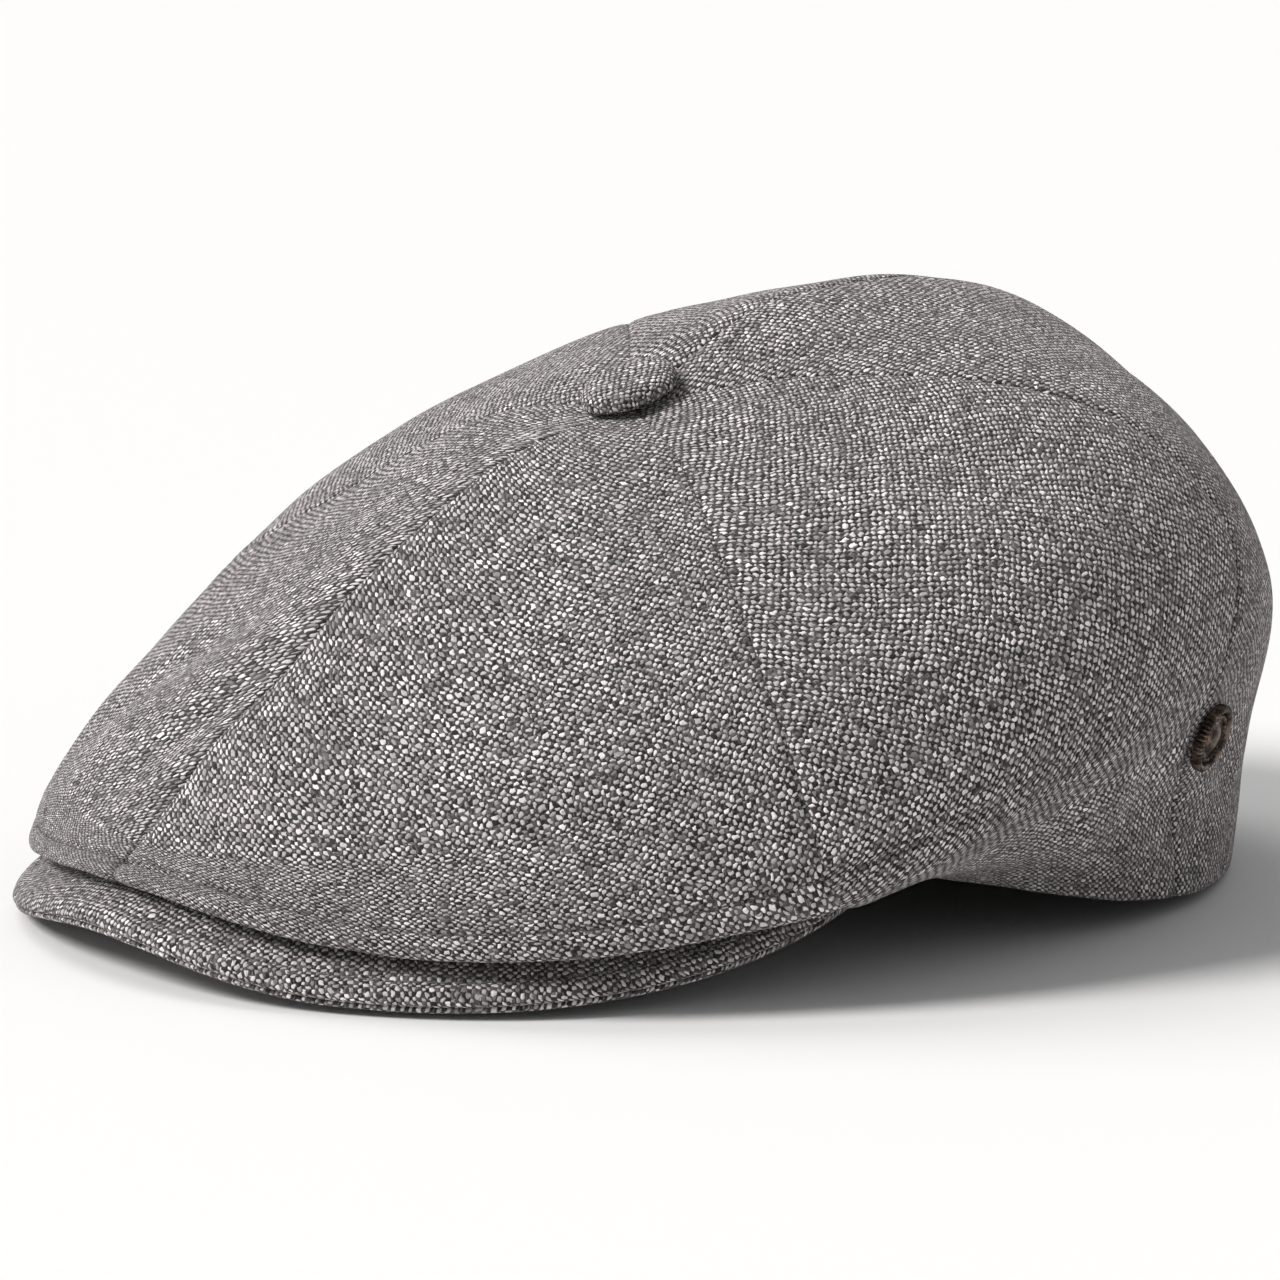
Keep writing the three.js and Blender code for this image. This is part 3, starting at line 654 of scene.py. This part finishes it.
# ---- Label ----
# A small blank ribbon label, folded under at its ends and sewn to the sweatband at the rear.
bpy.ops.object.select_all(action="DESELECT")
bpy.ops.mesh.primitive_grid_add(x_subdivisions=32, y_subdivisions=16, size=1, location=(0, 0, 0))
label = bpy.context.object
label.name = "size_label"
for v in label.data.vertices:
    across, rise = v.co.x * 15.5, 6.0 + v.co.y * 11.5
    swell = 0.25 * math.cos(v.co.x * math.pi) * math.cos(v.co.y * math.pi)
    lowered = hem_point(np.array(np.pi - across / 94.5), band_depth + 1.75 + swell, band_height - 8.0 + rise)
    v.co = Vector(lowered * MM)
bpy.ops.object.mode_set(mode="EDIT")
bpy.ops.mesh.select_all(action="SELECT")
bpy.ops.mesh.normals_make_consistent(inside=False)
bpy.ops.object.mode_set(mode="OBJECT")
middle_face = label.data.polygons[len(label.data.polygons) // 2]
if middle_face.normal.y > 0:
    label.data.flip_normals()
thick = label.modifiers.new("thick", "SOLIDIFY")
thick.thickness, thick.offset = 0.0004, -1
bpy.ops.object.modifier_apply(modifier="thick")
bpy.ops.object.shade_smooth()


def label_finish():
    finish, tree, shader = new_finish("blank_label", Sheen_Weight=0.3)
    where = Field.make(tree, "ShaderNodeTexCoord", None, None, out=3)
    x, z = part_of(tree, where, 0) * 1000, part_of(tree, where, 2) * 1000
    yarn = (z * 18).maths("SINE") * 0.5 + 0.5
    frame_line = (x.maths("ABSOLUTE") - 6.6).maths("ABSOLUTE").step(0.55, 0.35)
    mottle = noise_at(tree, where, 900.0, 2.0)
    colour = blend_colours(tree, yarn * 0.5 + mottle * 0.5, (0.3, 0.285, 0.26, 1), (0.46, 0.44, 0.4, 1))
    colour = blend_colours(tree, frame_line, colour, (0.03, 0.03, 0.032, 1))
    lift = yarn + mottle
    bump = Field.make(tree, "ShaderNodeBump", None, {"Strength": 0.5, "Distance": 0.00006, "Height": lift})
    plug(tree, shader, Base_Color=colour, Roughness=0.45 + mottle * 0.3, Normal=bump)
    return finish


label.data.materials.clear()
label.data.materials.append(label_finish())
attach(label, "crown")
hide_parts("inside_label")

# ---- Visor ----
# A curved plastic board between two layers of the tweed, cut on the bias. The upper layer wraps over the rim and
# is sewn to the lower one under it, with a row of topstitching close to the edge.
visor_length, visor_half_angle, visor_end, visor_drop = 68.0, math.radians(62), math.radians(60), 0.9
visor_edge_height = [11.3, 4.9, 7.2]
visor_depth, visor_cloth = 4.6, 1.1
rim_radius = visor_depth / 2


def visor_width(phi):
    return visor_length * (1 - (np.abs(phi) / visor_half_angle) ** 2) ** 0.9


def visor_edge_z(phi):
    end = float(hem_point(np.array(visor_half_angle))[2])
    values = np.array([visor_edge_height[1], *visor_edge_height, end, 2 * end - visor_edge_height[2]])
    turn = np.abs(phi) / visor_half_angle * 3
    first = np.minimum(turn.astype(int), 2)
    f = turn - first
    a, b, c, d = (values[first + k] for k in range(4))
    return (2 * b + (c - a) * f + (2 * a - 5 * b + 4 * c - d) * f**2 + (3 * b - a - 3 * c + d) * f**3) / 2


def visor_point(phi, out, drop):
    share = out / visor_width(phi)
    p = hem_point(phi, -out)
    p[..., 2] = (p[..., 2] - visor_drop) * (1 - share) + visor_edge_z(phi) * share - drop
    return p


visor_columns, visor_flat_rows = 200, 44
phi_line = np.linspace(-visor_end, visor_end, visor_columns)[None, :]


def visor_layer(name, rim_turns, top, lip_roll):
    """One cloth of the visor: flat from the hem to the rim, then rolled round it by rim_turns radians."""
    flat_rows = np.linspace(0, 1, visor_flat_rows)[:, None]
    roll = np.linspace(0, rim_turns, 18)[1:, None]
    width = visor_width(phi_line)
    radius = np.minimum(rim_radius, width * 0.4)
    sign = 1 if top else -1
    out = np.concatenate([0.5 + (width - radius - 0.5) * flat_rows, width - radius + radius * np.sin(roll)])
    level = rim_radius - sign * rim_radius
    rolled_drop = rim_radius - sign * rim_radius * np.cos(roll) + 0 * width
    drop = np.concatenate([level + 0 * flat_rows * width, rolled_drop])
    phi = phi_line + 0 * out
    inner_radius = radius - visor_cloth
    out_in = np.concatenate([out[:visor_flat_rows], width - radius + inner_radius * np.sin(roll)])
    drop_in = drop + sign * visor_cloth
    drop_in[visor_flat_rows:] = rim_radius - sign * (rim_radius - visor_cloth) * np.cos(roll)
    outer, inner = visor_point(phi, out, drop), visor_point(phi, out_in, drop_in)
    lift = outer - inner
    lift /= np.linalg.norm(lift, axis=-1, keepdims=True)
    rim = arc(outer, 0)
    from_rim = rim - rim[visor_flat_rows - 1 : visor_flat_rows]
    rise = lumps(outer, 40, 1.7) * 0.25 - 0.3 * bell(from_rim + 1.2, 0.5)
    rise = rise - lip_roll * bell(rim - rim[-1:], 0.8)
    outer = outer + lift * rise[..., None]
    bias = math.sqrt(0.5)
    unrolled = hem_point(phi, -(0.5 + rim))
    x, y = unrolled[..., 0], unrolled[..., 1]
    grain = np.stack([(x + y) * bias + 900, (x - y) * bias], -1)
    if not top:
        outer, inner = outer[::-1], inner[::-1]
        grain = grain[::-1]
    return cloth_sheet(name, outer[::-1], inner[::-1], grain[::-1], tweed), outer


roll_under = math.radians(108)
upper, upper_grid = visor_layer("visor_cloth_upper", roll_under, True, 0.8)
lower, lower_grid = visor_layer("visor_cloth_lower", math.pi - roll_under - 0.26, False, 0.5)
visor_cloths = ((upper, "visor_top_cover", upper_grid), (lower, "visor_under_cover", lower_grid))
for cloth_piece, node, grid in visor_cloths:
    flat, area = cut_size(grid)
    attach(cloth_piece, "visor")
    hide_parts(node)


def board_finish():
    finish, tree, shader = new_finish("visor_board_plastic", Specular_IOR_Level=0.4)
    where = Field.make(tree, "ShaderNodeTexCoord", None, None, out=3)
    grain = noise_at(tree, where, 700.0, 3.0)
    tone = 0.02 + grain * 0.02
    colour = Field.make(tree, "ShaderNodeCombineColor", None, {0: tone, 1: tone, 2: tone})
    bump = Field.make(tree, "ShaderNodeBump", None, {"Strength": 0.3, "Distance": 0.0001, "Height": grain})
    plug(tree, shader, Base_Color=colour, Roughness=0.5 + grain * 0.2, Normal=bump)
    return finish


def refinish(node, finish):
    """Gives a piece that keeps its shape its own finish."""
    frame["nodes"][node].data.materials.clear()
    frame["nodes"][node].data.materials.append(finish)


refinish("visor_board", board_finish())

# Topstitching of the visor, just inside the rim.
phi_stitch = np.linspace(-math.radians(57), math.radians(57), 124)
stitch_out = visor_width(phi_stitch) - rim_radius - 1.2
spots = visor_point(phi_stitch, stitch_out, 0.12)
ahead = np.gradient(spots, axis=0)
across = visor_point(phi_stitch, stitch_out + 0.5, 0.12) - spots
lifts = np.cross(ahead, across)
lifts /= np.linalg.norm(lifts, axis=-1, keepdims=True)
lifts *= np.sign(lifts[:, 2:])
visor_stitches = stitch_row("visor_stitches", spots, ahead, lifts, 2.0, 0.45, grey_thread)
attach(visor_stitches, "visor")

# Topstitching that holds the crown's turned front edge, just above the fold.
t_line = np.linspace(2.0, 3.0, 200)
angles = np.radians(np.linspace(-76, 76, 150))
spots = []
for angle in angles:
    line = crown_line(angle + 0 * t_line, t_line)
    run = np.concatenate([[0], np.cumsum(np.linalg.norm(np.diff(line, axis=0), axis=-1))])
    t_here = np.interp(topstitch_climb, run, t_line)
    spots.append((angle, t_here))
spots = np.array(spots)
lifts = outward(crown_line, spots[:, 0], spots[:, 1])
grid = crown_line(spots[:, 0], spots[:, 1])
edge_seam = np.abs(np.degrees(spots[:, 0]) % 60)
keep = np.minimum(edge_seam, 60 - edge_seam) > 1.2
far_from_seams, climbs = np.full(len(grid), 30.0), np.full(len(grid), topstitch_climb)
base = crown_cloth(grid, lifts, far_from_seams, climbs, np.degrees(spots[:, 0]))
ahead = np.gradient(grid, axis=0)
spots, ahead, lifts = base[keep] + lifts[keep] * 0.1, ahead[keep], lifts[keep]
crown_stitches = stitch_row("crown_edge_stitches", spots, ahead, lifts, 2.0, 0.45, grey_thread)
follow_visor(crown_stitches)

# ---- Button ----
# A pressed steel shell covered with a disc of the tweed, gathered in under its edge and closed by a back plate.
# A thread shank holds it where the six gores meet.
button_radius, button_rise, button_lift = 10.0, 3.1, 2.4
bpy.ops.object.select_all(action="DESELECT")
bpy.ops.mesh.primitive_uv_sphere_add(segments=96, ring_count=96, radius=1, location=(0, 0, 0))
button = bpy.context.object
button.name = "button_cloth"
bpy.ops.object.mode_set(mode="EDIT")
bpy.ops.mesh.select_all(action="SELECT")
bpy.ops.mesh.bisect(plane_co=(0, 0, -0.45), plane_no=(0, 0, 1), clear_inner=True)
bpy.ops.object.mode_set(mode="OBJECT")
layer = button.data.uv_layers.new(name="cloth_mm")
maps = {}
for v in button.data.vertices:
    slant = math.atan2(v.co.z, math.hypot(v.co.x, v.co.y))
    turn = math.atan2(v.co.y, v.co.x)
    reach = max(math.cos(slant), 0.0) ** (0.36 if slant > 0 else 1.8)
    height = math.copysign(abs(math.sin(slant)) ** 0.8, slant)
    pucker = 0.18 * math.sin(turn * 13 + 0.6) * max(0.0, 0.25 - v.co.z) + 0.12 * noise.noise(v.co * 2.2)
    run = reach * button_radius + (1 - height) * button_rise * 0.9
    maps[v.index] = (run * math.cos(turn) + 300, run * math.sin(turn) - 200)
    r = reach * button_radius - 0.15 + pucker * 0.5
    lift = button_lift + height * button_rise * (1.0 if slant > 0 else 0.62) + pucker * 0.6
    v.co = Vector((r * math.cos(turn), r * math.sin(turn), lift)) * MM
for loop in button.data.loops:
    layer.data[loop.index].uv = maps[loop.vertex_index]
thick = button.modifiers.new("thick", "SOLIDIFY")
thick.thickness, thick.offset = 0.0006, -1
bpy.ops.object.modifier_apply(modifier="thick")
bpy.ops.object.shade_smooth()
joints = {j["name"]: j for j in frame["joints"]}
lean = Vector((0, 0, 1)).rotation_difference(Vector(joints["button_twist"]["axis"])).to_matrix().to_4x4()
button.data.transform(lean)
for v in button.data.vertices:
    v.co += Vector(joints["button_twist"]["pos_m"])
button.data.materials.clear()
button.data.materials.append(tweed)
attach(button, "button")
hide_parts("button_cover")


def metal_finish(name, dark, bright, wear, rough):
    finish, tree, shader = new_finish(name, Specular_IOR_Level=0.5)
    where = Field.make(tree, "ShaderNodeTexCoord", None, None, out=3)
    stain = noise_at(tree, where, 420.0, 4.0)
    fine = noise_at(tree, where, 2400.0, 2.0)
    mask = (stain * 0.7 + fine * 0.3).step(0.42, 0.62) * wear
    colour = blend_colours(tree, mask, (*dark, 1), (*bright, 1))
    bump = Field.make(tree, "ShaderNodeBump", None, {"Strength": 0.35, "Distance": 0.00006, "Height": fine})
    roughness, metallic = rough - mask * 0.15 + fine * 0.12, 0.85 + mask * 0.15
    plug(tree, shader, Base_Color=colour, Roughness=roughness, Metallic=metallic, Normal=bump)
    return finish


tinned = metal_finish("tinned_steel", (0.3, 0.3, 0.31), (0.62, 0.62, 0.63), 0.9, 0.42)
bronze = metal_finish("aged_bronze", (0.028, 0.021, 0.017), (0.25, 0.185, 0.145), 0.75, 0.38)
for node in ("button_shell", "button_back", "badge_washer"):
    refinish(node, tinned)
refinish("button_shank", black_thread)

# ---- Badge ----
# A small cast bronze badge, aged dark: a thick milled rim round a sunk face with a beaded ring and a low plain
# dome. Its post goes through the cloth and is riveted over a washer.
badge_joint = joints["badge_turn"]
badge_turn = Vector((0, 0, 1)).rotation_difference(Vector(badge_joint["axis"])).to_matrix().to_4x4()
badge_place = Vector(badge_joint["pos_m"])
badge_radius, badge_seat = 6.8, 1.0


def on_cap(piece):
    piece.data.transform(badge_turn)
    for v in piece.data.vertices:
        v.co += badge_place


def turned(name, profile, segments, teeth=0.0):
    """A turned piece: a profile of (radius, height) in mm, spun round the badge's axis."""
    bpy.ops.object.select_all(action="DESELECT")
    bpy.ops.mesh.primitive_circle_add(vertices=3, radius=0.01, location=(0, 0, 0))
    piece = bpy.context.object
    piece.name = name
    mesh = bpy.data.meshes.new(name)
    points = [(r * MM, 0, z * MM) for r, z in profile]
    mesh.from_pydata(points, [(i, i + 1) for i in range(len(points) - 1)], [])
    piece.data = mesh
    bpy.ops.object.mode_set(mode="EDIT")
    bpy.ops.mesh.select_all(action="SELECT")
    bpy.ops.mesh.spin(steps=segments, angle=2 * math.pi, center=(0, 0, 0), axis=(0, 0, 1))
    bpy.ops.mesh.select_all(action="SELECT")
    bpy.ops.mesh.remove_doubles(threshold=1e-6)
    bpy.ops.mesh.normals_make_consistent(inside=False)
    bpy.ops.object.mode_set(mode="OBJECT")
    if teeth:
        for v in piece.data.vertices:
            r = math.hypot(v.co.x, v.co.y)
            if r > (badge_radius - 0.5) * MM:
                around_rim = math.atan2(v.co.y, v.co.x)
                cut = teeth * MM * (0.5 - 0.5 * math.cos(around_rim * 44)) ** 1.5
                v.co.x *= (r - cut) / r
                v.co.y *= (r - cut) / r
    bpy.ops.object.shade_smooth_by_angle(angle=math.radians(35))
    return piece


inner_rim = 5.3
rim_profile = [(inner_rim, badge_seat), (6.45, badge_seat), (6.7, 1.15), (6.8, 1.35), (6.8, 2.55), (6.7, 2.8)]
rim_profile += [(6.45, 2.98), (6.1, 3.05), (5.75, 2.98), (5.5, 2.8)]
rim_profile += [(inner_rim, 2.5), (inner_rim, badge_seat)]
rim = turned("badge_milled_rim", rim_profile, 264, teeth=0.42)
face_profile = [(0, badge_seat), (5.2, badge_seat), (5.2, 2.0), (4.9, 2.15), (4.75, 2.5), (4.4, 2.65)]
face_profile += [(4.1, 2.5), (3.95, 2.15), (3.3, 2.05), (2.9, 2.2), (2.5, 2.6), (1.7, 2.95), (0.9, 3.1), (0, 3.15)]
face = turned("badge_domed_face", face_profile, 96)
for v in face.data.vertices:
    r = math.hypot(v.co.x, v.co.y) / MM
    if 4.0 < r < 4.8 and v.co.z > 2.3 * MM:
        v.co.z += 0.16 * MM * math.cos(math.atan2(v.co.y, v.co.x) * 24)
for piece, node in ((rim, "badge_rim"), (face, "badge_face")):
    on_cap(piece)
    piece.data.materials.clear()
    piece.data.materials.append(bronze)
    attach(piece, "badge")
    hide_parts(node)
refinish("badge_post", bronze)

bpy.context.view_layer.update()
